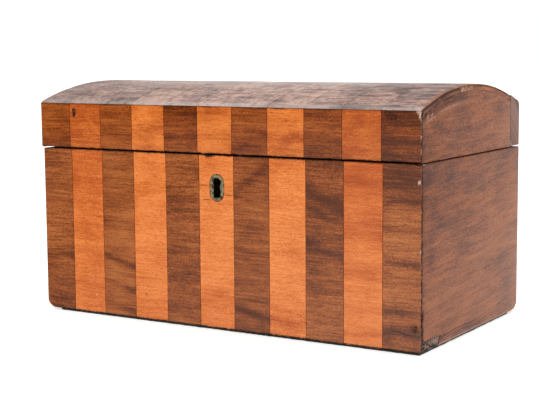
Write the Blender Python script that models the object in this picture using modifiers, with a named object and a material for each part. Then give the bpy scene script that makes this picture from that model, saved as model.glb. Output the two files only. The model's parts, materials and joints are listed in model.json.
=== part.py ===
"""Dome-topped tea caddy: a veneered box with a hinged lid, box lock, two lidded tea wells and a glass mixing bowl.

Metres, +Z up. The front of the box faces -Y. The origin is on the surface that the box stands on, under
the middle of its whole outline. Neighbouring pieces keep GAP between them, which reads as the glue line.
"""

import math

import bmesh
import bpy

# Driving sizes
WIDTH = 0.305
DEPTH = 0.165
RIM_Z = 0.1202
LID_GAP = 0.0012
GAP = 0.0003
VENEER = 0.0012
BOARD = 0.011
BACK_BOARD = 0.01635
BOTTOM_BOARD = 0.007
BAIZE = 0.0012
HINGE_RADIUS = 0.0026

# The hinge knuckles stand out behind the back board, so the wooden box sits a little forward of the origin
FRONT_Y = -(DEPTH + HINGE_RADIUS) / 2
BACK_Y = FRONT_Y + DEPTH
LID_Z = RIM_Z + LID_GAP
HINGE_Z = RIM_Z + LID_GAP / 2
BASE_Z = BAIZE + GAP
SKIN = VENEER + GAP
BOARD_BACK_Y = FRONT_Y + SKIN + BOARD
INNER_FRONT_Y = BOARD_BACK_Y + GAP
INNER_BACK_Y = BACK_Y - BACK_BOARD - GAP
INNER_Y = (INNER_FRONT_Y + INNER_BACK_Y) / 2
BOX_HALF = WIDTH / 2
FLOOR_Z = BASE_Z + BOTTOM_BOARD
WALL_Z = FLOOR_Z + GAP

# Stripes of the front: eleven strips, the outer two taking up what the pitch leaves
STRIPS = 11
STRIP_PITCH = 0.02795
WORN_CORNER = 0.008
BAIZE_LEFT_INSET = 0.0115
BAIZE_BACK_INSET = 0.0155
BAIZE_EDGE_INSET = 0.001

# Lid: a little wider than the box, and sitting a little to the left on its old hinges
LID_WIDTH = 0.3065
LID_SHIFT = -0.0012
LID_HALF = LID_WIDTH / 2
DOME_RADIUS = 0.2395
DOME_Y = INNER_Y - 0.0013
DOME_Z = -0.0717
TOP_VENEER = 0.001
TOP_BOARD = 0.003
BACK_ROUNDING = 0.0055
ARC_STEPS = 14

# Interior
PARTITION = 0.006
WELL_HALF = 0.054
TRAY_Z = 0.100
TRAY_THICK = 0.005
LEDGE_WIDTH = 0.005
LEDGE_HEIGHT = 0.004
LOOSE = 0.0006
BOWL_RIM_RADIUS = 0.046
BOWL_HOLE_RADIUS = 0.0485
BOWL_RIM_Z = 0.106
KNOB_SPIGOT = 0.0019
KNOB_BORE = 0.0023

# Lock
LOCK_X = 0.0006
KEYHOLE_Z = 0.0982
SELVEDGE_HALF = 0.031
SELVEDGE_THICK = 0.0015
SELVEDGE_FRONT_Y = FRONT_Y + 0.0028
CASE_HALF = 0.025
CASE_BOTTOM_Z = 0.090
CASE_WALL = 0.0012
CASE_FRONT_Y = FRONT_Y + 0.0054
CASE_BACK_Y = BOARD_BACK_Y - 0.0001
CAP_FRONT_Y = FRONT_Y + 0.0042
MORTISE_FRONT_Y = FRONT_Y + 0.0039
LINK_X = 0.015
LINK_THICK = 0.002
LINK_Y = FRONT_Y + 0.0083
LINK_HALF_DEPTH = 0.0022
LINK_BOTTOM_Z = 0.1102
SLOT_HALF_X = 0.0018
SLOT_HALF_Y = 0.0029
LINK_HOLE_LOW_Z = 0.1119
LINK_HOLE_HIGH_Z = 0.1153
LINK_HOLE_HALF_Y = 0.0012
DRILL_PIN_RADIUS = 0.0012

# Hinges
HINGE_X = 0.095
HINGE_LENGTH = 0.040
LEAF_REACH = 0.013
LEAF_THICK = 0.0012
PIN_RADIUS = 0.0012
PIN_BORE = 0.0015
KNUCKLES = 5
ROUND_STEPS = 20

# Finishes: colour, roughness, metallic
FINISHES = {
    "dark_veneer": ((0.23, 0.085, 0.035), 0.45, 0.0),
    "light_veneer": ((0.72, 0.26, 0.07), 0.42, 0.0),
    "end_veneer": ((0.29, 0.12, 0.065), 0.42, 0.0),
    "top_veneer": ((0.27, 0.15, 0.10), 0.4, 0.0),
    "carcass_wood": ((0.30, 0.13, 0.06), 0.6, 0.0),
    "inner_wood": ((0.26, 0.09, 0.04), 0.5, 0.0),
    "brass": ((0.50, 0.38, 0.17), 0.38, 1.0),
    "green_baize": ((0.015, 0.022, 0.013), 0.95, 0.0),
    "cut_glass": ((0.86, 0.90, 0.88), 0.05, 0.0),
}


def empty_scene():
    for old in list(bpy.data.objects):
        bpy.data.objects.remove(old)
    made = {}
    for name in ("tea_caddy", "cutters"):
        made[name] = bpy.data.collections.new(name)
        bpy.context.scene.collection.children.link(made[name])
    return made["tea_caddy"], made["cutters"]


PARTS, CUTTERS = empty_scene()


def finish(name):
    """The one material of this finish, made at its first use."""
    found = bpy.data.materials.get(name)
    if found:
        return found
    colour, roughness, metallic = FINISHES[name]
    made = bpy.data.materials.new(name)
    made.use_nodes = True
    shader = made.node_tree.nodes["Principled BSDF"]
    shader.inputs["Base Color"].default_value = (*colour, 1.0)
    shader.inputs["Roughness"].default_value = roughness
    shader.inputs["Metallic"].default_value = metallic
    return made


def place(name, data, material=None, location=(0, 0, 0), rotation=(0, 0, 0)):
    """A part, or without a material a hidden cutter."""
    made = bpy.data.objects.new(name, data)
    made.location = location
    made.rotation_euler = rotation
    if material:
        data.materials.append(finish(material))
        PARTS.objects.link(made)
    else:
        made.hide_render = True
        made.display_type = "WIRE"
        CUTTERS.objects.link(made)
    return made


def block(name, low, high, material=None):
    """A rectangular block between two corners, with its origin at its middle."""
    size = [b - a for a, b in zip(low, high)]
    middle = [(a + b) / 2 for a, b in zip(low, high)]
    form = bmesh.new()
    bmesh.ops.create_cube(form, size=1.0)
    bmesh.ops.scale(form, vec=size, verts=form.verts)
    mesh = bpy.data.meshes.new(name)
    form.to_mesh(mesh)
    form.free()
    return place(name, mesh, material, middle)


def rod(name, middle, radius, length, material=None):
    """A round bar along X."""
    form = bmesh.new()
    bmesh.ops.create_cone(
        form, cap_ends=True, segments=ROUND_STEPS, radius1=radius, radius2=radius, depth=length
    )
    mesh = bpy.data.meshes.new(name)
    form.to_mesh(mesh)
    form.free()
    mesh.shade_smooth()
    mesh.set_sharp_from_angle(angle=math.radians(40))
    return place(name, mesh, material, middle, (0, math.pi / 2, 0))


def outline_plate(name, outlines, low, high, plane, material=None):
    """A flat piece cut to closed outlines, the later ones being holes. Plane is front, end or top:
    the outline's two numbers are then x, z or y, z or x, y, and low and high bound the third."""
    curve = bpy.data.curves.new(name, "CURVE")
    curve.dimensions = "2D"
    curve.fill_mode = "BOTH"
    curve.extrude = (high - low) / 2
    for outline in outlines:
        spline = curve.splines.new("POLY")
        spline.points.add(len(outline) - 1)
        for point, (a, b) in zip(spline.points, outline):
            point.co = (a, b, 0, 1)
        spline.use_cyclic_u = True
    middle = (low + high) / 2
    quarter = math.pi / 2
    location, rotation = {
        "front": ((0, middle, 0), (quarter, 0, 0)),
        "end": ((middle, 0, 0), (quarter, 0, quarter)),
        "top": ((0, 0, middle), (0, 0, 0)),
    }[plane]
    return place(name, curve, material, location, rotation)


def turned(name, profile, middle, steps, material):
    """A turned piece: its profile's (radius, height) points swept round the upright axis."""
    mesh = bpy.data.meshes.new(name)
    points = [(radius, 0, height) for radius, height in profile]
    mesh.from_pydata(points, [(i, i + 1) for i in range(len(points) - 1)], [])
    made = place(name, mesh, material, middle)
    sweep = made.modifiers.new("turn", "SCREW")
    sweep.steps = steps
    sweep.render_steps = steps
    sweep.use_merge_vertices = True
    sweep.merge_threshold = 0.00001
    sweep.use_smooth_shade = True
    return made


def boolean(part, other, operation="DIFFERENCE"):
    change = part.modifiers.new(other.name, "BOOLEAN")
    change.operation = operation
    change.object = other
    return part


def rectangle(low_a, low_b, high_a, high_b):
    return [(low_a, low_b), (high_a, low_b), (high_a, high_b), (low_a, high_b)]


def arc(centre_a, centre_b, radius, start, end, steps):
    """Points along an arc, with its angles in degrees."""
    angles = [math.radians(start + (end - start) * i / steps) for i in range(steps + 1)]
    return [(centre_a + radius * math.cos(t), centre_b + radius * math.sin(t)) for t in angles]


def dome_z(y, radius):
    """Height of the dome's circle of this radius at y."""
    return DOME_Z + math.sqrt(radius**2 - (y - DOME_Y) ** 2)


def dome_line(start_y, end_y, radius):
    """Points (y, z) along the dome between two depths."""
    ys = [start_y + (end_y - start_y) * i / ARC_STEPS for i in range(ARC_STEPS + 1)]
    return [(y, dome_z(y, radius)) for y in ys]


def carcass():
    board_x = BOX_HALF - SKIN
    end_x = board_x - BOARD
    block(
        "front_board",
        (-board_x, FRONT_Y + SKIN, WALL_Z),
        (board_x, BOARD_BACK_Y, RIM_Z),
        "carcass_wood",
    )
    block(
        "back_board", (-board_x, BACK_Y - BACK_BOARD, WALL_Z), (board_x, BACK_Y, RIM_Z), "carcass_wood"
    )
    for side, low_x in (("left", -board_x), ("right", end_x)):
        block(
            f"{side}_end_board",
            (low_x, INNER_FRONT_Y, WALL_Z),
            (low_x + BOARD, INNER_BACK_Y, RIM_Z),
            "carcass_wood",
        )
    bottom = block(
        "bottom_board",
        (-board_x, FRONT_Y + SKIN, BASE_Z),
        (board_x, BACK_Y, FLOOR_Z),
        "carcass_wood",
    )
    round_lower_edges(bottom, WORN_CORNER - SKIN)


def round_lower_edges(part, radius):
    """Wears round the lower edges along a block's left side and back."""
    form = bmesh.new()
    form.from_mesh(part.data)
    low_x = min(v.co.x for v in form.verts)
    low_z = min(v.co.z for v in form.verts)
    high_y = max(v.co.y for v in form.verts)
    worn = [
        edge
        for edge in form.edges
        if all(abs(v.co.z - low_z) < GAP for v in edge.verts)
        and (
            all(abs(v.co.x - low_x) < GAP for v in edge.verts)
            or all(abs(v.co.y - high_y) < GAP for v in edge.verts)
        )
    ]
    bmesh.ops.bevel(form, geom=worn, offset=radius, segments=4, profile=0.5, affect="EDGES")
    form.to_mesh(part.data)
    form.free()


def strip_edges(half_width, shift):
    """The upright lines between the strips, from the left end of the front to the right."""
    inner = [shift + (i - (STRIPS - 2) / 2) * STRIP_PITCH for i in range(STRIPS - 1)]
    return [shift - half_width, *inner, shift + half_width]


def striped_front(prefix, half_width, shift, low_z, high_z, worn, hole):
    """Eleven strips of veneer side by side, dark and light in turn, with dark ones at both ends."""
    edges = strip_edges(half_width, shift)
    for i in range(STRIPS):
        low = edges[i] + (GAP / 2 if i else 0)
        high = edges[i + 1] - (GAP / 2 if i < STRIPS - 1 else 0)
        outlines = [rectangle(low, low_z, high, high_z)]
        if worn and i == 0:
            corner = arc(low + worn, low_z + worn, worn, 180, 270, 6)
            outlines = [[*corner, (high, low_z), (high, high_z), (low, high_z)]]
        if hole and i == STRIPS // 2:
            outlines.append(hole)
        outline_plate(
            f"{prefix}_{i + 1:02d}",
            outlines,
            FRONT_Y,
            FRONT_Y + VENEER,
            "front",
            "light_veneer" if i % 2 else "dark_veneer",
        )


def keyhole_outline(bulb, waist, foot, half_height, lift=0.0):
    """A keyhole: a round bulb at the top, a narrower waist and a foot that widens again."""
    middle = KEYHOLE_Z + lift
    bulb_z = middle + half_height - bulb
    opening = math.degrees(math.asin(waist / bulb))
    head = arc(LOCK_X, bulb_z, bulb, 270 - opening, opening - 90, 12)
    base = middle - half_height
    right = [(LOCK_X + waist, base + 2.2 * foot), (LOCK_X + foot, base + foot), (LOCK_X + 0.75 * foot, base)]
    left = [(2 * LOCK_X - x, z) for x, z in reversed(right)]
    return [*head, *right, *left]


def escutcheon_outline(half_width, half_height):
    """The brass rim's outer line: a round head above a body with rounded lower corners."""
    corner = 0.45 * half_width
    base = KEYHOLE_Z - half_height
    head = arc(LOCK_X, KEYHOLE_Z + half_height - half_width, half_width, 0, 180, 12)
    left = arc(LOCK_X - half_width + corner, base + corner, corner, 180, 270, 4)
    right = arc(LOCK_X + half_width - corner, base + corner, corner, 270, 360, 4)
    return [*head, *left, *right]


def box_veneers():
    half_width, half_height = 0.0058, 0.0093
    seat = escutcheon_outline(half_width + GAP, half_height + GAP)
    striped_front("front_strip", BOX_HALF, 0.0, BASE_Z, RIM_Z, WORN_CORNER, seat)
    outline_plate(
        "escutcheon",
        [
            escutcheon_outline(half_width, half_height),
            keyhole_outline(0.0026, 0.0016, 0.0023, 0.0062),
        ],
        FRONT_Y - 0.0002,
        FRONT_Y + VENEER,
        "front",
        "brass",
    )
    start = FRONT_Y + SKIN
    for side, low_x, low_z in (
        ("left", -BOX_HALF, BASE_Z + 0.0035),
        ("right", BOX_HALF - VENEER, BASE_Z),
    ):
        worn = WORN_CORNER - (low_z - BASE_Z) / 2
        corner = arc(BACK_Y - worn, low_z + worn, worn, 270, 360, 6)
        outline_plate(
            f"{side}_end_veneer",
            [[(start, low_z), *corner, (BACK_Y, RIM_Z), (start, RIM_Z)]],
            low_x,
            low_x + VENEER,
            "end",
            "end_veneer",
        )
    block(
        "base_baize",
        (-BOX_HALF + BAIZE_LEFT_INSET, FRONT_Y + BAIZE_EDGE_INSET, 0),
        (BOX_HALF - BAIZE_EDGE_INSET, BACK_Y - BAIZE_BACK_INSET, BAIZE),
        "green_baize",
    )


def interior():
    left_wall = BOX_HALF - SKIN - BOARD - GAP
    outer = WELL_HALF + PARTITION
    for side, sign in (("left", -1), ("right", 1)):
        near, far = sorted((sign * WELL_HALF, sign * outer))
        block(
            f"{side}_partition",
            (near, INNER_FRONT_Y, WALL_Z),
            (far, INNER_BACK_Y, TRAY_Z),
            "inner_wood",
        )
        low_x, high_x = sorted((sign * (outer + GAP), sign * left_wall))
        hole = rectangle(
            low_x + LEDGE_WIDTH,
            INNER_FRONT_Y + LEDGE_WIDTH,
            high_x - LEDGE_WIDTH,
            INNER_BACK_Y - LEDGE_WIDTH,
        )
        ledge_top = TRAY_Z - TRAY_THICK - GAP
        outline_plate(
            f"{side}_lid_ledge",
            [rectangle(low_x, INNER_FRONT_Y, high_x, INNER_BACK_Y), hole],
            ledge_top - LEDGE_HEIGHT,
            ledge_top,
            "top",
            "inner_wood",
        )
        tea_lid(side, low_x + LOOSE, high_x - LOOSE)
    well = WELL_HALF - GAP
    outline_plate(
        "bowl_well_board",
        [
            rectangle(-well, INNER_FRONT_Y, well, INNER_BACK_Y),
            arc(0, INNER_Y, BOWL_HOLE_RADIUS, 0, 350, 35),
        ],
        TRAY_Z - TRAY_THICK,
        TRAY_Z,
        "top",
        "inner_wood",
    )
    bowl()


def tea_lid(side, low_x, high_x):
    """A loose flat lid with a turned knob whose spigot goes down into it."""
    middle_x = (low_x + high_x) / 2
    low_z = TRAY_Z - TRAY_THICK
    outline_plate(
        f"{side}_tea_lid",
        [
            rectangle(low_x, INNER_FRONT_Y + LOOSE, high_x, INNER_BACK_Y - LOOSE),
            arc(middle_x, INNER_Y, KNOB_BORE, 0, 330, 11),
        ],
        low_z,
        TRAY_Z,
        "top",
        "inner_wood",
    )
    seat = GAP
    profile = [
        (0, 0.0135),
        (0.0035, 0.0131),
        (0.0060, 0.0114),
        (0.0066, 0.0092),
        (0.0056, 0.0070),
        (0.0032, 0.0052),
        (0.0028, 0.0036),
        (0.0050, 0.0020),
        (0.0054, seat),
        (KNOB_SPIGOT, seat),
        (KNOB_SPIGOT, -0.0042),
        (0, -0.0042),
    ]
    turned(f"{side}_tea_lid_knob", profile, (middle_x, INNER_Y, TRAY_Z), 20, "brass")


def bowl():
    """A footed glass bowl that stands in the middle well with its rim above the board."""
    foot_z = WALL_Z
    wall = 0.003
    outer = [
        (BOWL_RIM_RADIUS, BOWL_RIM_Z),
        (0.0400, 0.040),
        (0.0180, 0.021),
        (0.0165, 0.016),
        (0.0300, 0.012),
        (0.0310, foot_z),
        (0, foot_z),
    ]
    inner = [(0.0180, 0.0270), *((radius - wall, height) for radius, height in outer[1::-1])]
    profile = [(0, 0.025), *inner, *outer]
    turned("mixing_bowl", profile, (0, INNER_Y, 0), 24, "cut_glass")


def lock():
    case = block(
        "lock_case",
        (LOCK_X - CASE_HALF, CASE_FRONT_Y, CASE_BOTTOM_Z),
        (LOCK_X + CASE_HALF, CASE_BACK_Y, RIM_Z - 2 * SELVEDGE_THICK / 3),
        "brass",
    )
    selvedge = block(
        "cut_selvedge_plate",
        (LOCK_X - SELVEDGE_HALF, SELVEDGE_FRONT_Y, RIM_Z - SELVEDGE_THICK),
        (LOCK_X + SELVEDGE_HALF, CASE_BACK_Y, RIM_Z - 0.0001),
    )
    hollow = block(
        "cut_case_hollow",
        (LOCK_X - CASE_HALF + CASE_WALL, CASE_FRONT_Y - GAP, CASE_BOTTOM_Z + CASE_WALL),
        (LOCK_X + CASE_HALF - CASE_WALL, CASE_BACK_Y - CASE_WALL, RIM_Z - SELVEDGE_THICK),
    )
    pin = rod(
        "cut_drill_pin", (LOCK_X, CASE_BACK_Y - 0.0035, KEYHOLE_Z + 0.0036), DRILL_PIN_RADIUS, 0.006
    )
    pin.rotation_euler = (math.pi / 2, 0, 0)
    boolean(case, selvedge, "UNION")
    boolean(case, hollow)
    boolean(case, pin, "UNION")
    for side, sign in (("left", -1), ("right", 1)):
        middle = LOCK_X + sign * LINK_X
        slot = block(
            f"cut_{side}_slot",
            (middle - SLOT_HALF_X, LINK_Y - SLOT_HALF_Y, RIM_Z - 0.004),
            (middle + SLOT_HALF_X, LINK_Y + SLOT_HALF_Y, RIM_Z + 0.002),
        )
        boolean(case, slot)
    outline_plate(
        "lock_cap",
        [
            rectangle(
                LOCK_X - CASE_HALF, CASE_BOTTOM_Z, LOCK_X + CASE_HALF, RIM_Z - SELVEDGE_THICK - GAP
            ),
            keyhole_outline(0.0028, 0.0018, 0.0025, 0.0066),
        ],
        CAP_FRONT_Y,
        CASE_FRONT_Y - GAP,
        "front",
        "brass",
    )
    lock_bolt()
    mortise_front_board()


def lock_bolt():
    """A bar with two hooks. Sliding it to the right puts their fingers through the lid's links."""
    half = 0.0019
    finger_half = 0.0009
    tip_gap = 0.0008
    bar_low_z, bar_high_z = 0.1046, 0.1086
    finger_low_z, finger_high_z = LINK_HOLE_LOW_Z + 0.0005, LINK_HOLE_HIGH_Z - 0.0005
    finger, post = 0.0042, 0.0024
    left_tip = LOCK_X - LINK_X - LINK_THICK / 2 - tip_gap
    bolt = block(
        "lock_bolt",
        (left_tip - finger - post, LINK_Y - half, bar_low_z),
        (LOCK_X + 0.011, LINK_Y + half, bar_high_z),
        "brass",
    )
    for side, tip in (("left", left_tip), ("right", left_tip + 2 * LINK_X)):
        root = tip - finger
        boolean(
            bolt,
            block(
                f"cut_{side}_post",
                (root - post, LINK_Y - 0.0014, bar_high_z - 0.001),
                (root, LINK_Y + 0.0014, finger_high_z),
            ),
            "UNION",
        )
        boolean(
            bolt,
            block(
                f"cut_{side}_finger",
                (root - post / 2, LINK_Y - finger_half, finger_low_z),
                (tip, LINK_Y + finger_half, finger_high_z - 0.0001),
            ),
            "UNION",
        )
    talon = block(
        "cut_talon",
        (LOCK_X - 0.0024, LINK_Y - 0.004, bar_low_z - 0.001),
        (LOCK_X + 0.0024, LINK_Y + 0.004, bar_low_z + 0.0014),
    )
    boolean(bolt, talon)


def mortise_front_board():
    board = bpy.data.objects["front_board"]
    loose = 0.0004
    pocket = block(
        "cut_lock_mortise",
        (LOCK_X - CASE_HALF - loose, MORTISE_FRONT_Y, CASE_BOTTOM_Z - loose),
        (LOCK_X + CASE_HALF + loose, BOARD_BACK_Y + 0.002, RIM_Z + 0.002),
    )
    ledge = block(
        "cut_selvedge_seat",
        (LOCK_X - SELVEDGE_HALF - loose, SELVEDGE_FRONT_Y - GAP, RIM_Z - SELVEDGE_THICK - GAP),
        (LOCK_X + SELVEDGE_HALF + loose, BOARD_BACK_Y + 0.003, RIM_Z + 0.003),
    )
    hole = outline_plate(
        "cut_keyhole",
        [keyhole_outline(0.0030, 0.0020, 0.0027, 0.0068)],
        FRONT_Y,
        FRONT_Y + 0.007,
        "front",
    )
    for cutter in (pocket, ledge, solid_cutter(hole)):
        boolean(board, cutter)


def solid_cutter(curve):
    """A hidden outline plate as a mesh, so that a Boolean can use it."""
    bpy.context.view_layer.update()
    graph = bpy.context.evaluated_depsgraph_get()
    mesh = bpy.data.meshes.new_from_object(curve.evaluated_get(graph))
    form = bmesh.new()
    form.from_mesh(mesh)
    bmesh.ops.remove_doubles(form, verts=form.verts, dist=0.000001)
    bmesh.ops.recalc_face_normals(form, faces=form.faces)
    form.to_mesh(mesh)
    form.free()
    made = place(curve.name + "_solid", mesh)
    made.matrix_world = curve.matrix_world
    bpy.data.objects.remove(curve)
    return made


def link_plate():
    """The lid's half of the lock: a plate with two links that drop through the selvedge's slots."""
    plate = block(
        "lock_link_plate",
        (LOCK_X - SELVEDGE_HALF, SELVEDGE_FRONT_Y, LID_Z + 0.0001),
        (LOCK_X + SELVEDGE_HALF, CASE_BACK_Y, LID_Z + SELVEDGE_THICK),
        "brass",
    )
    half = LINK_THICK / 2
    for side, sign in (("left", -1), ("right", 1)):
        middle = LOCK_X + sign * LINK_X
        link = block(
            f"cut_{side}_link",
            (middle - half, LINK_Y - LINK_HALF_DEPTH, LINK_BOTTOM_Z),
            (middle + half, LINK_Y + LINK_HALF_DEPTH, LID_Z + SELVEDGE_THICK / 2),
        )
        eye = block(
            f"cut_{side}_link_eye",
            (middle - LINK_THICK, LINK_Y - LINK_HOLE_HALF_Y, LINK_HOLE_LOW_Z),
            (middle + LINK_THICK, LINK_Y + LINK_HOLE_HALF_Y, LINK_HOLE_HIGH_Z),
        )
        boolean(plate, link, "UNION")
        boolean(plate, eye)
    seat = block(
        "cut_link_plate_seat",
        (LOCK_X - SELVEDGE_HALF - GAP, SELVEDGE_FRONT_Y - GAP, LID_Z - 0.002),
        (LOCK_X + SELVEDGE_HALF + GAP, BOARD_BACK_Y + 0.002, LID_Z + SELVEDGE_THICK + GAP),
    )
    return seat


def lid_frame():
    rail_half = LID_HALF - SKIN
    under_board = DOME_RADIUS - TOP_VENEER - TOP_BOARD - 2 * GAP
    under_rails = under_board - GAP
    front_low = FRONT_Y + SKIN
    front_rail = outline_plate(
        "lid_front_rail",
        [[*dome_line(front_low, BOARD_BACK_Y, under_rails), (BOARD_BACK_Y, LID_Z), (front_low, LID_Z)]],
        LID_SHIFT - rail_half,
        LID_SHIFT + rail_half,
        "end",
        "carcass_wood",
    )
    for side, low_x in (("left", LID_SHIFT - rail_half), ("right", LID_SHIFT + rail_half - BOARD)):
        outline_plate(
            f"lid_{side}_end",
            [
                [
                    *dome_line(INNER_FRONT_Y, INNER_BACK_Y, under_rails),
                    (INNER_BACK_Y, LID_Z),
                    (INNER_FRONT_Y, LID_Z),
                ]
            ],
            low_x,
            low_x + BOARD,
            "end",
            "carcass_wood",
        )
    for side, low_x in (("left", LID_SHIFT - LID_HALF), ("right", LID_SHIFT + LID_HALF - VENEER)):
        outline_plate(
            f"lid_{side}_end_veneer",
            [
                [
                    *dome_line(front_low, INNER_BACK_Y, under_rails),
                    (INNER_BACK_Y, LID_Z),
                    (front_low, LID_Z),
                ]
            ],
            low_x,
            low_x + VENEER,
            "end",
            "end_veneer",
        )
    low_x, high_x = LID_SHIFT - LID_HALF, LID_SHIFT + LID_HALF
    outline_plate(
        "lid_top_board",
        [
            [
                *dome_line(front_low, INNER_BACK_Y, under_board),
                *reversed(dome_line(front_low, INNER_BACK_Y, under_board + TOP_BOARD)),
            ]
        ],
        low_x,
        high_x,
        "end",
        "carcass_wood",
    )
    outline_plate(
        "lid_top_veneer",
        [
            [
                *dome_line(FRONT_Y, INNER_BACK_Y, DOME_RADIUS - TOP_VENEER),
                *reversed(dome_line(FRONT_Y, INNER_BACK_Y, DOME_RADIUS)),
            ]
        ],
        low_x,
        high_x,
        "end",
        "top_veneer",
    )
    striped_front(
        "lid_strip",
        LID_HALF,
        LID_SHIFT,
        LID_Z,
        dome_z(FRONT_Y, DOME_RADIUS - TOP_VENEER) - GAP,
        0,
        None,
    )
    return front_rail, back_rail(low_x, high_x)


def back_rail(low_x, high_x):
    """The lid's thick back rail: its ends and its rounded upper edge show."""
    turn_y = BACK_Y - BACK_ROUNDING
    turn_z = dome_z(turn_y, DOME_RADIUS) - BACK_ROUNDING
    crown = dome_line(INNER_BACK_Y + GAP, turn_y - 0.001, DOME_RADIUS)[:: ARC_STEPS // 2]
    corner = arc(turn_y, turn_z, BACK_ROUNDING, 70, 0, 5)
    return outline_plate(
        "lid_back_rail",
        [[*crown, *corner, (BACK_Y, LID_Z), (INNER_BACK_Y + GAP, LID_Z)]],
        low_x,
        high_x,
        "end",
        "carcass_wood",
    )


def as_mesh(curve, material):
    """A visible outline plate made a mesh, so that it can be cut."""
    name = curve.name
    curve.name = name + "_outline"
    solid = solid_cutter(curve)
    CUTTERS.objects.unlink(solid)
    PARTS.objects.link(solid)
    solid.name = name
    solid.hide_render = False
    solid.display_type = "TEXTURED"
    solid.data.materials.clear()
    solid.data.materials.append(finish(material))
    return solid


def knuckle_spans():
    """The knuckles' (low, high) along the hinge: odd ones belong to the lid's leaf."""
    pitch = HINGE_LENGTH / KNUCKLES
    return [
        (-HINGE_LENGTH / 2 + i * pitch + GAP / 2, -HINGE_LENGTH / 2 + (i + 1) * pitch - GAP / 2)
        for i in range(KNUCKLES)
    ]


def hinge_leaf(name, middle_x, low_z, first):
    """One leaf: a plate let into the wood, with every second knuckle rolled round the pin."""
    bore_edge = BACK_Y - PIN_BORE - 0.0004
    plate_edge = BACK_Y - HINGE_RADIUS - 0.0005
    half = HINGE_LENGTH / 2
    leaf = block(
        name,
        (middle_x - half, BACK_Y - LEAF_REACH, low_z),
        (middle_x + half, plate_edge, low_z + LEAF_THICK),
        "brass",
    )
    for i, (low, high) in list(enumerate(knuckle_spans()))[first::2]:
        tab = block(
            f"cut_{name}_tab_{i}",
            (middle_x + low, plate_edge - 0.002, low_z + 0.00001),
            (middle_x + high, bore_edge, low_z + LEAF_THICK - 0.00001),
        )
        barrel = rod(
            f"cut_{name}_barrel_{i}",
            (middle_x + (low + high) / 2, BACK_Y, HINGE_Z),
            HINGE_RADIUS,
            high - low,
        )
        boolean(leaf, tab, "UNION")
        boolean(leaf, barrel, "UNION")
    bore = rod(f"cut_{name}_bore", (middle_x, BACK_Y, HINGE_Z), PIN_BORE, HINGE_LENGTH + 0.004)
    return boolean(leaf, bore)


def hinges(back_board, lid_rail):
    for side, sign in (("left", -1), ("right", 1)):
        middle = sign * HINGE_X
        box_leaf_z = RIM_Z - LEAF_THICK
        hinge_leaf(f"{side}_hinge_box_leaf", middle, box_leaf_z, 0)
        hinge_leaf(f"{side}_hinge_lid_leaf", middle, LID_Z, 1)
        rod(f"{side}_hinge_pin", (middle, BACK_Y, HINGE_Z), PIN_RADIUS, HINGE_LENGTH + 0.001, "brass")
        half = HINGE_LENGTH / 2 + GAP
        front = BACK_Y - LEAF_REACH - GAP
        lower = block(
            f"cut_{side}_box_leaf_seat",
            (middle - half, front, box_leaf_z - GAP),
            (middle + half, BACK_Y + 0.002, RIM_Z + 0.002),
        )
        upper = block(
            f"cut_{side}_lid_leaf_seat",
            (middle - half, front, LID_Z - 0.002),
            (middle + half, BACK_Y + 0.002, LID_Z + LEAF_THICK + GAP),
        )
        channel = rod(
            f"cut_{side}_knuckle_channel",
            (middle, BACK_Y, HINGE_Z),
            HINGE_RADIUS + 0.0005,
            HINGE_LENGTH + 0.0022,
        )
        boolean(back_board, lower)
        boolean(back_board, channel)
        boolean(lid_rail, upper)
        boolean(lid_rail, channel)


def main():
    carcass()
    box_veneers()
    interior()
    lock()
    front_rail, back = lid_frame()
    front_rail = as_mesh(front_rail, "carcass_wood")
    boolean(front_rail, link_plate())
    hinges(bpy.data.objects["back_board"], as_mesh(back, "carcass_wood"))


main()
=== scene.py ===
"""The looks of a striped, dome-topped tea caddy: veneers, worn edges, brass, baize, light and camera."""
import json
import math

import bmesh
import bpy
import numpy as np
from mathutils import Matrix, Vector


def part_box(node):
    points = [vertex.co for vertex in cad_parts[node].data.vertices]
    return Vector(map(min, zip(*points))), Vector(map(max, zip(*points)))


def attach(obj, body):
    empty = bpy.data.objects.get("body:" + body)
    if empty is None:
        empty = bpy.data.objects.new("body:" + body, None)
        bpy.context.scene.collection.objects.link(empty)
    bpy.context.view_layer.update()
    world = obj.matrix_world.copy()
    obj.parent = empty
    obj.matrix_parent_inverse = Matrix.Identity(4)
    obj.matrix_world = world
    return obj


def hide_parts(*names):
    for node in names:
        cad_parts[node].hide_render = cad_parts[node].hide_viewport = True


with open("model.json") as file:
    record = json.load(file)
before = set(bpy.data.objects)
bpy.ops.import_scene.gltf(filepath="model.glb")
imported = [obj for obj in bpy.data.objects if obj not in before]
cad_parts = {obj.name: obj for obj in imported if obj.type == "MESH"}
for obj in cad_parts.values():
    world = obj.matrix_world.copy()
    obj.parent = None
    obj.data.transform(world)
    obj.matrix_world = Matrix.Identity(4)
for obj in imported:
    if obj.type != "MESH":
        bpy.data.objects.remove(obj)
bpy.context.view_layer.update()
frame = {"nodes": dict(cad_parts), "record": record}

MM = 0.001
STRIPS = 11
# The box's rounded lower corners, and how far a worn veneer falls back from its CAD face at most
CORNER_RADIUS = 0.008
MOST_FALL = 0.0011
# How far the lid's strips rise to meet the top's worn edge, and how far its end veneers hang down
LID_STRIP_RISE = 0.00025
LID_END_DROP = 0.0006
# Where the bare inside of the back board begins, and the middle of the keyhole in the front board
INSIDE_Y = 0.0795
KEYHOLE = (0.0006, -0.078, 0.0982)

# The dome is an arc about an axis along x: its middle, and the radii of its veneer, its board and the ends
TOP_VENEER = 0.001
DOME_Y = -0.004525
DOME_RADIUS = 0.2395
BOARD_OUTER_RADIUS = DOME_RADIUS - 0.0013
BOARD_INNER_RADIUS = DOME_RADIUS - 0.0043
END_RADIUS = DOME_RADIUS - 0.00436

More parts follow.
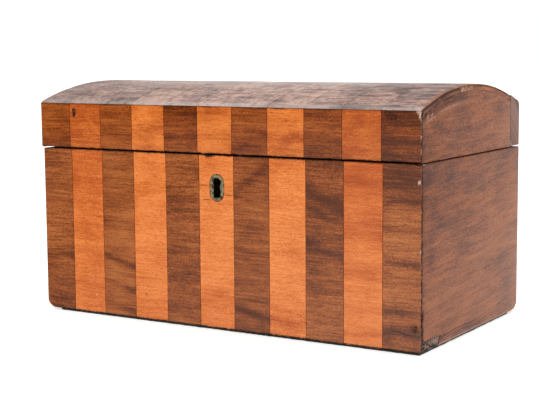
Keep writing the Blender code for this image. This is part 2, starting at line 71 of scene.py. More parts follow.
# The camera that took the photo: turn, tilt and roll in degrees, its place and its focal length in pixels
CAMERA_ANGLES = (-31.679, 6.921, -0.4285)
CAMERA_PLACE = (0.49082, -0.81042, 0.19431)
FOCAL_PIXELS = 1302.1
PHOTO_WIDTH = 539
SENSOR_WIDTH = 36.0

nodes = frame["nodes"]


def span(node):
    """A CAD node's lowest and highest corner, as two arrays."""
    low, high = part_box(node)
    return np.array(low), np.array(high)


# ---------------------------------------------------------------- materials


class Paint:
    """A node material under construction, with short ways to add its nodes."""

    def __init__(self, name):
        self.material = bpy.data.materials.new(name)
        self.material.use_nodes = True
        self.tree = self.material.node_tree
        self.shader = self.tree.nodes["Principled BSDF"]

    def add(self, kind, inputs=None, out=0, **settings):
        node = self.tree.nodes.new("ShaderNode" + kind)
        for key, value in settings.items():
            setattr(node, key, value)
        for key, value in (inputs or {}).items():
            socket = node.inputs[key]
            if isinstance(value, bpy.types.NodeSocket):
                self.tree.links.new(value, socket)
            else:
                socket.default_value = value
        return node.outputs[out]

    def math(self, operation, a, b=0.0, c=0.0, clamp=False):
        return self.add("Math", {0: a, 1: b, 2: c}, operation=operation, use_clamp=clamp)

    def scaled(self, vector, x, y, z=1.0):
        return self.add("VectorMath", {0: vector, 1: (x, y, z)}, operation="MULTIPLY")

    def noise(self, vector, detail=2.0, roughness=0.5):
        values = {"Vector": vector, "Scale": 1.0, "Detail": detail, "Roughness": roughness}
        return self.add("TexNoise", values)

    def ramp(self, value, low, high, to_low=0.0, to_high=1.0):
        values = {0: value, 1: low, 2: high, 3: to_low, 4: to_high}
        return self.add("MapRange", values, clamp=True)

    def attribute(self, name, out="Fac"):
        return self.add("Attribute", out=out, attribute_name=name)

    def colours(self, value, stops):
        node = self.tree.nodes.new("ShaderNodeValToRGB")
        ramp = node.color_ramp
        while len(ramp.elements) < len(stops):
            ramp.elements.new(0.5)
        for element, (position, colour) in zip(ramp.elements, stops):
            element.position = position
            element.color = (*colour, 1.0)
        self.tree.links.new(value, node.inputs[0])
        return node.outputs[0]

    def mix(self, factor, a, b):
        node = self.tree.nodes.new("ShaderNodeMix")
        node.data_type = "RGBA"
        for index, value in ((0, factor), (6, a), (7, b)):
            if isinstance(value, bpy.types.NodeSocket):
                self.tree.links.new(value, node.inputs[index])
            else:
                node.inputs[index].default_value = value if index == 0 else (*value, 1.0)
        return node.outputs[2]

    def set(self, **values):
        for key, value in values.items():
            socket = self.shader.inputs[key.replace("_", " ")]
            if isinstance(value, bpy.types.NodeSocket):
                self.tree.links.new(value, socket)
            else:
                socket.default_value = value
        return self

    def bump(self, height, strength, distance):
        values = {"Strength": strength, "Distance": distance, "Height": height}
        self.set(Normal=self.add("Bump", values))


def shades(colours):
    """Five stops for a wood: its dark, middle and pale colours, with a deeper and a paler one beyond."""
    dark, middle, pale = colours
    deepest = tuple(0.62 * c for c in dark)
    palest = tuple(min(1.15 * c, 0.95) for c in pale)
    return list(zip((0.05, 0.275, 0.5, 0.725, 0.95), (deepest, dark, middle, pale, palest)))


def world_grain(p, x, y, z, along):
    """Grain coordinates that run along the world's x or y axis."""
    axes = (x, p.math("ADD", y, z), y) if along == "X" else (y, z, x)
    return p.add("CombineXYZ", dict(enumerate(axes)))


def wood(name, colours, pore_colour, along=None, figure=1.0, mottle=0.5, pores=0.6, dashes=0.62,
         short_grain=(170, 1050), grit=0.9, gloss=0.36, relief=0.25, shine=0.08, sheen=0.0, crazing=0.0,
         keyhole_shade=False, inside=None, scuffed_and_lit=(0.55, 0.36, 0.27), dark_marks_and_shade=(0.02, 0.012, 0.008)):
    """Polished wood. Its grain follows the grain attribute of a sheet, or runs along a world axis.

    figure, mottle, dashes and grit are the strengths of its long grain, clouds, short dashes and specks.
    A wood with an inside palette takes it in front of INSIDE_Y, and the front board's wood is painted near
    black about the keyhole: painted shade for the deep keyhole.
    """
    p = Paint(name)
    if along is None:
        grain = p.attribute("grain", "Vector")
    else:
        place = p.add("TexCoord", out="Object")
        parts = p.tree.nodes.new("ShaderNodeSeparateXYZ")
        p.tree.links.new(place, parts.inputs[0])
        x, y, z = parts.outputs
        grain = world_grain(p, x, y, z, along)
    drift = p.noise(p.scaled(grain, 20, 36), 2.0)
    drift = p.math("MULTIPLY", p.math("SUBTRACT", drift, 0.5), 0.0035)
    bent = p.add("VectorMath", {0: grain, 1: p.add("CombineXYZ", {1: drift})}, operation="ADD")
    stripes = p.noise(p.scaled(bent, 11, 150), 4.0, 0.6)
    fibres = p.noise(p.scaled(bent, 42, 820), 3.0, 0.65)
    clouds = p.noise(p.scaled(grain, 45, 60), 3.0)
    short = p.noise(p.scaled(bent, *short_grain), 2.0, 0.6)
    specks = p.noise(p.scaled(grain, 1100, 1500), 2.0, 0.7)
    flecks = p.ramp(short, 0.57, 0.68)
    level = 0.5
    for pattern, strength in ((stripes, 1.3 * figure), (fibres, 1.7 * figure), (short, -1.2 * dashes),
                              (clouds, 1.5 * mottle), (specks, grit)):
        level = p.math("MULTIPLY_ADD", p.math("SUBTRACT", pattern, 0.5), strength, level)
    if along is None:
        level = p.math("ADD", level, p.attribute("tone"))
        level = p.math("SUBTRACT", level, p.attribute("streak"))
    level = p.math("MULTIPLY_ADD", level, 0.5, 0.25)
    colour = p.colours(level, shades(colours))
    if inside:
        colour = p.mix(p.ramp(y, INSIDE_Y, INSIDE_Y + 0.0006), p.colours(level, shades(inside)), colour)
    colour = p.mix(p.math("MULTIPLY", flecks, pores), colour, pore_colour)
    # Painted shade: near black about the keyhole, where the deep hole is dark
    if keyhole_shade:
        away = p.add("VectorMath", {0: place, 1: KEYHOLE}, out=1, operation="DISTANCE")
        colour = p.mix(p.ramp(away, 0.010, 0.016, 1.0, 0.0), colour, (0.004, 0.003, 0.002))
    rough = p.math("MULTIPLY_ADD", flecks, 0.18, gloss)
    rough = p.math("MULTIPLY_ADD", clouds, 0.12, rough)
    if crazing:
        cracks = p.ramp(p.noise(p.scaled(bent, 620, 80), 3.0, 0.6), 0.52, 0.64)
        patches = p.ramp(p.noise(p.scaled(grain, 26, 30), 2.0), 0.40, 0.60, 0.15, crazing)
        colour = p.mix(p.math("MULTIPLY", cracks, patches), colour, (0.045, 0.018, 0.012))
    if along is None:
        uneven = p.ramp(p.noise(p.scaled(grain, 500, 900), 3.0), 0.35, 0.65, 0.55, 1.45)
        pale_rub_and_highlight = p.math("MULTIPLY", p.attribute("pale_rub_and_highlight"), uneven, clamp=True)
        darkening = p.math("MULTIPLY", p.attribute("dark_marks_and_shade"), uneven, clamp=True)
        # Pale mix: real pale marks such as bare wood and chips, and painted glare, a pale haze of reflected
        # light on the polish
        colour = p.mix(p.attribute("pale_marks_and_glare"), colour, (0.54, 0.475, 0.44))
        # Pale rub mix: real wear and chips, with painted highlights along some rounded edges
        colour = p.mix(pale_rub_and_highlight, colour, scuffed_and_lit)
        # Dark mix: real dirt, stains and dark joints, with painted shade in hollows, on edges that fall back
        # and along the foot
        colour = p.mix(darkening, colour, dark_marks_and_shade)
        rough = p.math("MULTIPLY_ADD", pale_rub_and_highlight, 0.25, rough)
        rough = p.math("MULTIPLY_ADD", darkening, 0.3, rough, clamp=True)
    height = p.math("MULTIPLY_ADD", flecks, -0.6, fibres)
    p.set(Base_Color=colour, Roughness=rough)
    p.shader.inputs["Specular IOR Level"].default_value = shine
    p.shader.inputs["Sheen Weight"].default_value = sheen
    p.bump(height, relief, 0.00025)
    return p.material


# Woods: their dark, middle and pale colours
WALNUT = ((0.105, 0.022, 0.004), (0.265, 0.066, 0.013), (0.42, 0.13, 0.032))
LID_WALNUT = ((0.085, 0.016, 0.002), (0.235, 0.050, 0.007), (0.37, 0.098, 0.018))
SATINWOOD = ((0.42, 0.078, 0.011), (0.65, 0.178, 0.036), (0.82, 0.275, 0.078))
LID_SATINWOOD = ((0.36, 0.066, 0.008), (0.57, 0.146, 0.023), (0.74, 0.22, 0.045))
END_WALNUT = ((0.080, 0.020, 0.009), (0.222, 0.062, 0.019), (0.34, 0.108, 0.035))
FADED = ((0.080, 0.027, 0.017), (0.25, 0.118, 0.083), (0.50, 0.285, 0.215))
FADED_LIGHT = ((0.10, 0.034, 0.021), (0.30, 0.145, 0.100), (0.55, 0.32, 0.24))
RAIL = ((0.065, 0.026, 0.016), (0.162, 0.075, 0.050), (0.26, 0.135, 0.10))
WARM = ((0.06, 0.012, 0.004), (0.20, 0.052, 0.016), (0.34, 0.115, 0.040))
MAHOGANY = ((0.12, 0.030, 0.010), (0.25, 0.075, 0.028), (0.36, 0.12, 0.05))


def make_materials():
    """All materials by name."""
    dark_pore, light_pore = (0.045, 0.012, 0.004), (0.30, 0.055, 0.01)
    dark, light = {"short_grain": (260, 1600)}, {"short_grain": (230, 1500)}
    dry = {
        "gloss": 0.42, "relief": 0.6, "shine": 0.38, "sheen": 0.05, "dashes": 1.6, "short_grain": (260, 1050),
    }
    plain = {"along": "X", "gloss": 0.5}
    back = {**plain, "mottle": 0.9, "shine": 0.3, "figure": 1.3}
    return {
        "walnut": wood("walnut", WALNUT, dark_pore, figure=0.8, pores=0.4, dashes=0.45, grit=1.7, **dark),
        "lid_walnut": wood("lid_walnut", LID_WALNUT, dark_pore, figure=0.85, pores=0.45, dashes=0.5, grit=1.6,
                           shine=0.03, **dark),
        "satinwood": wood("satinwood", SATINWOOD, light_pore, figure=0.45, mottle=0.4, pores=0.3, dashes=0.5,
                          grit=1.3, **light),
        "lid_satinwood": wood("lid_satinwood", LID_SATINWOOD, light_pore, figure=0.5, mottle=0.8, pores=0.35,
                              dashes=0.7, grit=1.4, shine=0.05, **light),
        "end_walnut": wood("end_walnut", END_WALNUT, (0.04, 0.018, 0.012), figure=0.7, mottle=0.45,
                           pores=0.35, dashes=0.6, grit=2.1, short_grain=(260, 2300), shine=0.10,
                           dark_marks_and_shade=(0.030, 0.015, 0.010)),
        "top_dark": wood("top_dark", FADED, (0.03, 0.014, 0.009), crazing=0.6, scuffed_and_lit=(0.33, 0.125, 0.055),
                         dark_marks_and_shade=(0.070, 0.024, 0.015), **dry),
        "top_light": wood("top_light", FADED_LIGHT, (0.05, 0.02, 0.014), crazing=0.5, scuffed_and_lit=(0.34, 0.13, 0.06),
                          dark_marks_and_shade=(0.080, 0.027, 0.016), **dry),
        "warm_board": wood("warm_board", WARM, dark_pore, gloss=0.4, shine=0.12, scuffed_and_lit=(0.50, 0.28, 0.18)),
        "back_walnut": wood("back_walnut", RAIL, dark_pore, **back),
        "back_board_wood": wood("back_board_wood", RAIL, dark_pore, inside=MAHOGANY, **back),
        "front_mahogany": wood("front_mahogany", MAHOGANY, dark_pore, keyhole_shade=True, **plain),
        "mahogany": wood("mahogany", MAHOGANY, dark_pore, **plain),
        "mahogany_y": wood("mahogany_y", MAHOGANY, dark_pore, along="Y", gloss=0.5),
        "brass": brass("brass", (0.46, 0.33, 0.15), (0.13, 0.095, 0.045)),
        "old_brass": brass("old_brass", (0.23, 0.185, 0.105), (0.05, 0.04, 0.021)),
        # Near black: the lock's own dark metal, darkened further as painted shade seen through the keyhole
        "dark_metal": brass("dark_metal", (0.05, 0.042, 0.03), (0.012, 0.010, 0.008)),
        "baize": baize(),
        "glass": glass(),
    }


def brass(name, bright, tarnish):
    """Old brass, dull and dark where it has tarnished."""
    p = Paint(name)
    place = p.add("TexCoord", out="Object")
    patches = p.noise(p.scaled(place, 420, 420, 420), 4.0, 0.6)
    fine = p.noise(p.scaled(place, 2600, 2600, 2600), 2.0)
    dull = p.ramp(patches, 0.42, 0.62)
    colour = p.mix(dull, bright, tarnish)
    rough = p.math("MULTIPLY_ADD", dull, 0.25, 0.3)
    p.set(Base_Color=colour, Metallic=1.0, Roughness=rough)
    p.bump(p.math("ADD", patches, fine), 0.3, 0.00015)
    return p.material


def baize():
    """Dark green cloth with dust on it, its green darkened further as painted shade under the box."""
    p = Paint("green_baize")
    place = p.add("TexCoord", out="Object")
    fuzz = p.noise(p.scaled(place, 1500, 1500, 1500), 4.0, 0.7)
    dust = p.noise(p.scaled(place, 90, 90, 90), 3.0)
    # Near-black green: the cloth's own dark green, darkened further as painted shade
    colour = p.mix(p.ramp(dust, 0.4, 0.65), (0.004, 0.007, 0.004), (0.012, 0.016, 0.009))
    colour = p.mix(p.ramp(fuzz, 0.55, 0.75), colour, (0.04, 0.05, 0.032))
    p.set(Base_Color=colour, Roughness=0.95, Sheen_Weight=0.1)
    p.bump(fuzz, 0.8, 0.0004)
    return p.material


def glass():
    """Clear glass with a trace of green."""
    p = Paint("clear_glass")
    p.set(Base_Color=(0.93, 0.97, 0.95, 1.0), Roughness=0.03, Transmission_Weight=1.0, IOR=1.5)
    return p.material


MATERIALS = make_materials()

# ---------------------------------------------------------------- light, floor and camera


def area_light(name, place, target, size, power):
    data = bpy.data.lights.new(name, "AREA")
    data.shape = "RECTANGLE"
    data.size, data.size_y = size
    data.energy = power
    light = bpy.data.objects.new(name, data)
    light.location = place
    light.rotation_euler = (Vector(target) - Vector(place)).to_track_quat("-Z", "Y").to_euler()
    bpy.context.scene.collection.objects.link(light)


def studio():
    """A white room with a soft key light, a soft light from above and a pale floor."""
    scene = bpy.context.scene
    scene.view_settings.view_transform = "Standard"
    world = bpy.data.worlds.new("white_room")
    scene.world = world
    world.use_nodes = True
    world.node_tree.nodes["Background"].inputs[0].default_value = (1, 1, 1, 1)
    world.node_tree.nodes["Background"].inputs[1].default_value = 1.0
    area_light("key", (-0.9, -1.6, 1.5), (0, 0, 0.08), (1.2, 1.2), 4)
    area_light("overhead", (0.1, 0.9, 1.6), (0, 0, 0.1), (1.6, 1.0), 5)
    form = bmesh.new()
    bmesh.ops.create_grid(form, x_segments=8, y_segments=8, size=6.0)
    mesh = bpy.data.meshes.new("floor")
    form.to_mesh(mesh)
    form.free()
    floor = bpy.data.objects.new("floor", mesh)
    floor.location.z = -0.0001
    scene.collection.objects.link(floor)
    p = Paint("white_floor")
    p.set(Base_Color=(0.9, 0.9, 0.9, 1.0), Roughness=0.8, Emission_Color=(1, 1, 1, 1), Emission_Strength=0.45)
    floor.data.materials.append(p.material)


def camera():
    """The view from the right of the front, a little above the caddy."""
    yaw, pitch, roll = (math.radians(a) for a in CAMERA_ANGLES)
    forward = Vector((math.sin(yaw) * math.cos(pitch), math.cos(yaw) * math.cos(pitch), -math.sin(pitch)))
    right = Vector((math.cos(yaw), -math.sin(yaw), 0))
    up = right.cross(forward)
    right, up = math.cos(roll) * right + math.sin(roll) * up, -math.sin(roll) * right + math.cos(roll) * up
    data = bpy.data.cameras.new("view")
    data.sensor_width = SENSOR_WIDTH
    data.lens = SENSOR_WIDTH * FOCAL_PIXELS / PHOTO_WIDTH
    view = bpy.data.objects.new("view", data)
    turn = Matrix((right, up, -forward)).transposed().to_4x4()
    view.matrix_world = Matrix.Translation(CAMERA_PLACE) @ turn
    bpy.context.scene.collection.objects.link(view)
    bpy.context.scene.camera = view


# ---------------------------------------------------------------- noise and edges


def noise(a, b, seed):
    """Smooth noise from -1 to 1 over two coordinates, one cell to a unit."""
    table = np.random.default_rng(seed).uniform(-1, 1, (97, 89))
    i, j = np.floor(a).astype(int), np.floor(b).astype(int)
    s, t = a - i, b - j
    s, t = s * s * (3 - 2 * s), t * t * (3 - 2 * t)

    def at(p, q):
        return table[p % 97, q % 89]

    low = at(i, j) * (1 - s) + at(i + 1, j) * s
    return low * (1 - t) + (at(i, j + 1) * (1 - s) + at(i + 1, j + 1) * s) * t


def rounding(distance, radius):
    """How far a rounded edge falls back at each distance from it."""
    inside = np.clip(radius - distance, 0, radius)
    return radius - np.sqrt(np.maximum(radius**2 - inside**2, 0))


def near(distance, reach):
    """1 on an edge, falling to 0 at reach."""
    return np.clip(1 - distance / reach, 0, 1) ** 2


def steps(low, high, pitch, fine=0.0):
    """Evenly spaced stations, with closer ones at both ends where fine is above 0."""
    count = max(2, int(round((high - low) / pitch)))
    line = np.linspace(low, high, count + 1)
    if fine:
        ends = fine * np.array([0.0, 0.12, 0.3, 0.55, 0.8])
        line = line[(line > low + fine) & (line < high - fine)]
        line = np.concatenate([low + ends, line, (high - ends)[::-1]])
    return line


# ---------------------------------------------------------------- sheets of veneer


def slab(name, outer, inner, material, body, replaced=()):
    """A closed sheet between an outer and an inner grid of points, each rows by columns by 3."""
    rows, columns = outer.shape[:2]
    points = np.concatenate([outer.reshape(-1, 3), inner.reshape(-1, 3)])
    index = np.arange(rows * columns).reshape(rows, columns)
    a, b, c, d = index[:-1, :-1], index[:-1, 1:], index[1:, 1:], index[1:, :-1]
    front = np.stack([a, b, c, d], -1).reshape(-1, 4)
    back = front[:, ::-1] + rows * columns
    rim = np.concatenate([index[0, :-1], index[:-1, -1], index[-1, :0:-1], index[:0:-1, 0]])
    after = np.roll(rim, -1)
    side = np.stack([after, rim, rim + rows * columns, after + rows * columns], -1)
    mesh = bpy.data.meshes.new(name)
    mesh.from_pydata(points.tolist(), [], np.concatenate([front, back, side]).tolist())
    form = bmesh.new()
    form.from_mesh(mesh)
    bmesh.ops.recalc_face_normals(form, faces=form.faces)
    form.to_mesh(mesh)
    form.free()
    mesh.shade_smooth()
    mesh.set_sharp_from_angle(angle=math.radians(35))
    piece = bpy.data.objects.new(name, mesh)
    bpy.context.scene.collection.objects.link(piece)
    mesh.materials.append(MATERIALS[material])
    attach(piece, body)
    if replaced:
        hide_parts(*replaced)
    return piece


def coat(piece, paint):
    """Writes the sheet's grain direction and its tone, streaks, pale marks with painted glare, wear with
    painted highlights, and grime with painted shade, from its points.
    """
    mesh = piece.data
    points = np.array([v.co for v in mesh.vertices]).reshape(-1, 3)
    values = paint(points)
    grain = mesh.attributes.new("grain", "FLOAT_VECTOR", "POINT")
    grain.data.foreach_set("vector", values["grain"].astype(np.float32).ravel())
    for key in ("tone", "streak", "pale_marks_and_glare", "pale_rub_and_highlight", "dark_marks_and_shade"):
        layer = mesh.attributes.new(key, "FLOAT", "POINT")
        value = np.broadcast_to(values.get(key, 0.0), len(points)).astype(np.float32)
        layer.data.foreach_set("value", value)


def blot(a, b, spot):
    """1 in the middle of an oval spot (a, b, half width, half height), fading outwards."""
    return np.exp(-(((a - spot[0]) / spot[2]) ** 2) - ((b - spot[1]) / spot[3]) ** 2)


def bands(x, z, middle, marks, seed):
    """Dark figure crossing a strip: each band has its height, slope, half thickness and strength."""
    total = np.zeros(len(x))
    for i, (height, slope, half, strength) in enumerate(marks):
        wobble = 1.3 * noise(x * 95, z * 60, 7 * seed + i)
        off = (z / MM - height) - 0.5 * slope * (x - middle) / MM + wobble
        total += strength * np.exp(-((off / half) ** 2)) * (0.75 + 0.45 * noise(x * 70, z * 30, seed + i))
    return total


def chipped(a, b, spots):
    """1 inside ragged spots (place in mm, half width, half height), 0 outside them."""
    ragged = 0.5 * noise(a * 1500, b * 1500, 9)
    total = 0.0
    for middle, height, half_width, half_height in spots:
        off = np.hypot((a / MM - middle) / half_width, (b / MM - height) / half_height) + ragged
        total = total + np.clip((1.2 - off) / 0.3, 0, 1)
    return total


# Figure of the strips: (height in mm, slope, half thickness in mm, strength)
BOX_FIGURE = {
    1: ((77, 0.1, 2.2, 0.22), (66, 0.0, 2.5, 0.16), (42, 0.15, 3.0, 0.32), (8, 0.0, 4.0, 0.2)),
    2: ((101, 0.1, 10.0, 0.16), (60, 0.0, 2.0, 0.1), (22, 0.0, 3.0, 0.12)),
    3: ((98, -0.9, 7.0, 0.1), (70, -0.1, 3.0, 0.25), (41, -0.4, 2.2, 0.35), (33, -0.4, 1.6, 0.2),
        (24, -0.4, 2.2, 0.35), (8, -0.3, 2.2, 0.25)),
    4: ((93, 0.05, 4.0, 0.12), (50, 0.0, 2.0, 0.08), (16, 0.0, 2.0, 0.1)),
    5: ((100, 0.6, 5.0, 0.12), (80, 0.1, 2.0, 0.16), (53, 0.1, 3.5, 0.22), (35, 0.1, 2.0, 0.12),
        (14, 0.0, 4.0, 0.1)),
    6: ((70, 0.0, 3.0, 0.08), (24, 0.1, 5.0, 0.14), (6, 0.0, 3.0, 0.1)),
    7: ((106, 1.4, 5.0, 0.18), (57, -0.25, 2.0, 0.3), (50, -0.25, 1.5, 0.15), (14, -0.3, 2.6, 0.42),
        (24, 0.1, 3.0, 0.1)),
    8: ((88, 0.1, 3.0, 0.1), (60, 0.15, 4.0, 0.12), (12, -0.1, 4.0, 0.32), (19, -0.3, 2.0, 0.15)),
    9: ((116, -0.3, 6.0, 0.25), (94, -1.0, 5.0, 0.38), (84, -0.9, 2.5, 0.2), (62, -0.7, 3.5, 0.2),
        (45, -0.6, 3.0, 0.12)),
    10: ((108, 0.05, 3.0, 0.14), (76, 0.05, 9.0, 0.2), (50, 0.1, 5.0, 0.16), (10, 0.1, 2.0, 0.2)),
    11: ((113, 0.0, 7.0, 0.22), (96, 0.15, 2.0, 0.2), (78, -0.1, 2.0, 0.25), (58, -0.15, 2.2, 0.35),
         (50, -0.1, 1.6, 0.2), (26, 0.1, 2.2, 0.3), (13, 0.1, 4.0, 0.35)),
}
LID_FIGURE = {
    1: ((150, 0.0, 2.0, 0.1), (128, 0.1, 3.0, 0.14)), 2: ((146, 0.2, 6.0, 0.05), (127, 0.0, 3.0, 0.08)),
    3: ((147, -0.2, 4.0, 0.16), (131, 0.1, 2.5, 0.12)), 4: ((150, 0.0, 2.0, 0.1), (136, 0.3, 3.0, 0.1)),
    5: ((150, -0.2, 4.0, 0.25), (132, 0.1, 3.0, 0.2)), 6: ((134, 0.0, 3.0, 0.12), (150, 0.0, 2.0, 0.12)),
    7: ((138, -0.2, 3.0, 0.18), (126, 0.0, 2.5, 0.14)), 8: ((132, 0.1, 4.0, 0.25), (126, 0.0, 2.0, 0.2)),
    9: ((149, -0.6, 4.0, 0.2), (136, -0.4, 2.0, 0.16), (127, 0.0, 3.0, 0.2)),
    10: ((142, 0.1, 6.0, 0.14), (126, 0.0, 3.0, 0.14)),
    11: ((146, 0.1, 5.0, 0.2), (134, 0.0, 3.0, 0.12), (126, 0.0, 3.0, 0.22)),
}


def front_paint(box, low, high, left, right, surface, tones, figure, seed):
    """Colouring of a front strip: grain runs across it, and its joint and outer edges are worn."""
    # Painted glare: a pale reflection haze, stronger towards the right and the bottom of the front
    glare, joint = (0.055, 0.8) if box else (0.035, 0.25)

    def paint(points):
        x, y, z = points.T
        height = (z - low) / (high - low)
        rough = 1 + 0.6 * noise(x * 300, z * 300, seed + 3)
        # Painted shade: sunk darkens hollows, cracks and rounded-back edges, and base_line paints a contact
        # shadow along the foot of the box; the bottom and joint bands are darker, and the spots are real
        # stains
        sunk = np.clip((y - surface - 0.00025) / 0.0003, 0, 1)
        base_line = np.clip((0.0008 - z + low) / 0.0003, 0, 0.9) * box
        dark_marks_and_shade = 0.8 * near(z - low, 0.0020) + base_line + joint * near(high - z, 0.0014) + 0.8 * sunk
        for a, b, half_width, half_height, strength in DARK_SPOTS:
            off = np.hypot((x / MM - a) / half_width, (z / MM - b) / half_height)
            off = off + 0.12 * noise(x * 900, z * 900, 8)
            dark_marks_and_shade = dark_marks_and_shade + strength * np.clip((1.15 - off) / 0.3, 0, 1)
        outer = near(x - left, 0.0009) + near(right - x, 0.0009)
        pale_rub_and_highlight = 0.3 * outer * np.clip(0.6 + noise(x * 0, z * 140, seed), 0, 1)
        streak = 1.75 * bands(x, z, (x.min() + x.max()) / 2, figure, seed)
        return {
            "grain": np.stack([x + 0.31 * seed, z + 0.17 * seed, np.full(len(x), 3.7 * seed)], -1),
            "tone": np.interp(1 - height, np.linspace(0, 1, len(tones)), tones),
            "streak": streak + 0.45 * near(high - z, 0.0022) * (not box),
            "dark_marks_and_shade": np.clip(dark_marks_and_shade * rough, 0, 1),
            "pale_rub_and_highlight": np.clip(pale_rub_and_highlight + chipped(x, z, CHIPS), 0, 0.95),
            "pale_marks_and_glare": glare * np.clip(1.1 * (x + 0.12) / 0.3 + 0.85 * (1 - height) - 0.4, 0, 1.6),
        }

    return paint


# How pale the wood of each strip is, from its top down: its own tone, with the tops darkened as painted shade
# against the stronger light there
BOX_TONES = {
    1: (-0.11, 0.16, -0.22), 2: (-0.28, -0.14, -0.12), 3: (-0.06, 0.20, 0.17), 4: (-0.02, 0.05, 0.0),
    5: (0.01, -0.08, 0.0), 6: (-0.03, 0.16, 0.02), 7: (-0.09, 0.01, -0.18), 8: (-0.08, 0.18, -0.03),
    9: (-0.14, -0.20, 0.22), 10: (-0.40, -0.08, 0.06), 11: (-0.32, 0.24, -0.09),
}
LID_TONES = {
    1: (0.06,), 2: (-0.22,), 3: (0.17,), 4: (0.0,), 5: (-0.05,), 6: (-0.03,), 7: (0.08,), 8: (0.02,),
    9: (0.03,), 10: (-0.28,), 11: (-0.22,),
}
# Plugs, knots and stains: place in mm, half width, half height and strength
DARK_SPOTS = (
    (147.9, 17.0, 2.6, 2.9, 0.8), (-123.0, 146.7, 1.7, 3.4, 0.85), (131.3, 149.7, 4.6, 2.3, 0.6),
    (-5.5, 119.4, 3.0, 1.1, 0.7), (98.5, 23.0, 0.7, 0.5, 0.6), (-50.0, 27.0, 0.6, 0.5, 0.7),
    (-60.5, 19.5, 0.7, 0.5, 0.7), (-110.0, 31.0, 1.4, 0.5, 0.4), (-147.0, 77.0, 0.5, 0.7, 0.6),
)
# Chips and specks that show pale wood: place in mm, half width and half height
CHIPS = (
    (150.6, 120.1, 2.0, 0.35), (151.2, 109.0, 0.55, 1.6), (150.7, 152.3, 1.8, 1.2), (151.0, 150.0, 0.6, 1.6),
    (151.8, 147.5, 0.35, 0.7), (151.9, 137.0, 0.25, 0.8), (151.9, 128.0, 0.25, 1.0), (152.1, 66.0, 0.3, 1.2),
    (146.6, 9.0, 2.8, 0.08), (-123.4, 11.3, 0.45, 0.45), (-106.0, 14.4, 0.45, 0.5), (20.5, 149.5, 0.3, 0.9),
)


# Strips whose small marks need a finer grid
MARKED_STRIPS = (2, 4, 11)


def front_sheets(prefix, body, tones, figures, woods, seed):
    """The light and dark strips across the front of the box or of the lid."""
    box = body == "case"
    left, surface, low = span(f"{prefix}_01")[0]
    right, back, top = span(f"{prefix}_11")[1]
    if not box:
        top += LID_STRIP_RISE
    for strip in range(1, STRIPS + 1):
        node = f"{prefix}_{strip:02d}"
        a, b = span(node)
        pitch = 0.0010 if strip in MARKED_STRIPS else 0.0023
        x, z = np.meshgrid(steps(a[0], b[0], pitch, 0.0012), steps(low, top, 0.0013, 0.0012))
        if box and strip == 1:
            z = lifted(x, z, left, low, top, CORNER_RADIUS)
        fall = rounding(x - left, 0.0010) + rounding(right - x, 0.0010)
        fall += rounding(z - low, 0.0005) + rounding(top - z, 0.0005 if box else 0.0004)
        fall += rounding(x - a[0], 0.00015) + rounding(b[0] - x, 0.00015)
        fall += 0.00004 * (1 + noise(x * 45, z * 70, strip))
        outer = np.stack([x, surface + np.minimum(fall, MOST_FALL), z], -1)
        inner = np.stack([x, np.full(x.shape, back), z], -1)
        piece = slab(f"{prefix}_sheet_{strip:02d}", outer, inner, woods[strip % 2], body, [node])
        carve(piece, "front", surface, HOLLOWS.get((prefix, strip), ()))
        if box and strip == 6:
            carve(piece, "front", surface, [(escutcheon_seat(), THROUGH)])
        paint = front_paint(box, low, top, left, right, surface, tones[strip], figures[strip], seed + strip)
        coat(piece, paint)


def escutcheon_seat():
    """Outline in mm of the hole that the escutcheon sits in."""
    low, high = span("escutcheon")
    middle, half = (low + high) / 2 / MM, (high - low) / 2 / MM + 0.2
    return oval(middle[0], middle[2], half[0], half[2])


def lifted(a, z, edge, low, top, corner):
    """Heights squeezed up over a rounded lower corner at the edge of a sheet."""
    inward = np.clip(corner - np.abs(a - edge), 0, corner)
    lift = corner - np.sqrt(np.maximum(corner**2 - inward**2, 0))
    return low + lift + (z - low) * (top - low - lift) / (top - low)


def crack(points, width):
    """Outline in mm of a hair crack along points, widest in its middle."""
    line = np.array(points, float)
    along = line[-1] - line[0]
    side = np.array([-along[1], along[0]]) / np.hypot(*along)
    swell = np.sin(np.linspace(0.12, math.pi - 0.12, len(line)))[:, None] * side * width / 2
    return [tuple(p) for p in line + swell] + [tuple(p) for p in (line - swell)[::-1]]


# A depth in mm that goes right through a sheet
THROUGH = 5
# Hollows in the front sheets: outline in mm and depth in mm
HOLLOWS = {
    ("front_strip", 6): (
        (crack([(-13.9, 99.4), (-11, 99.7), (-8, 99.5), (-5.6, 99.9)], 0.5), 0.7),
        (crack([(-11.4, 89.6), (-9, 90.0), (-7, 89.7), (-5.0, 90.1)], 0.5), 0.7),
        (crack([(6.6, 93.4), (8.5, 93.8), (11, 93.5), (13.6, 93.9)], 0.5), 0.7),
        ([(-9.5, 120.8), (-8.6, 119.4), (-6.5, 118.9), (-3.0, 119.6), (-1.8, 120.8)], 0.8),
    ),
    ("front_strip", 11): (
        (crack([(128.5, 15.4), (133, 14.2), (138, 14.0), (143, 12.6), (149, 12.2)], 0.5), 0.4),
        ([(147.2, 120.8), (148.0, 119.7), (150.4, 119.4), (153.0, 119.7), (153.0, 120.8)], 0.7),
    ),
    ("lid_strip", 2): (
        ([(-124.4, 148.9), (-123.5, 149.9), (-122.2, 149.2), (-121.9, 146.6), (-122.3, 144.0),
          (-123.3, 143.7), (-123.7, 146.0)], 0.45),
    ),
    ("lid_strip", 11): (
        ([(126.6, 151.9), (130.5, 152.6), (134.6, 150.3), (135.6, 147.6), (132.4, 147.1),
          (128.2, 149.4)], 0.4),
    ),
    ("lid_strip", 8): ((crack([(44, 152.9), (48, 152.5), (53, 152.6), (57, 152.4)], 0.7), 0.7),),
    ("lid_strip", 6): ((crack([(-12, 152.6), (-7, 152.9), (-2, 152.5)], 0.7), 0.7),),
}


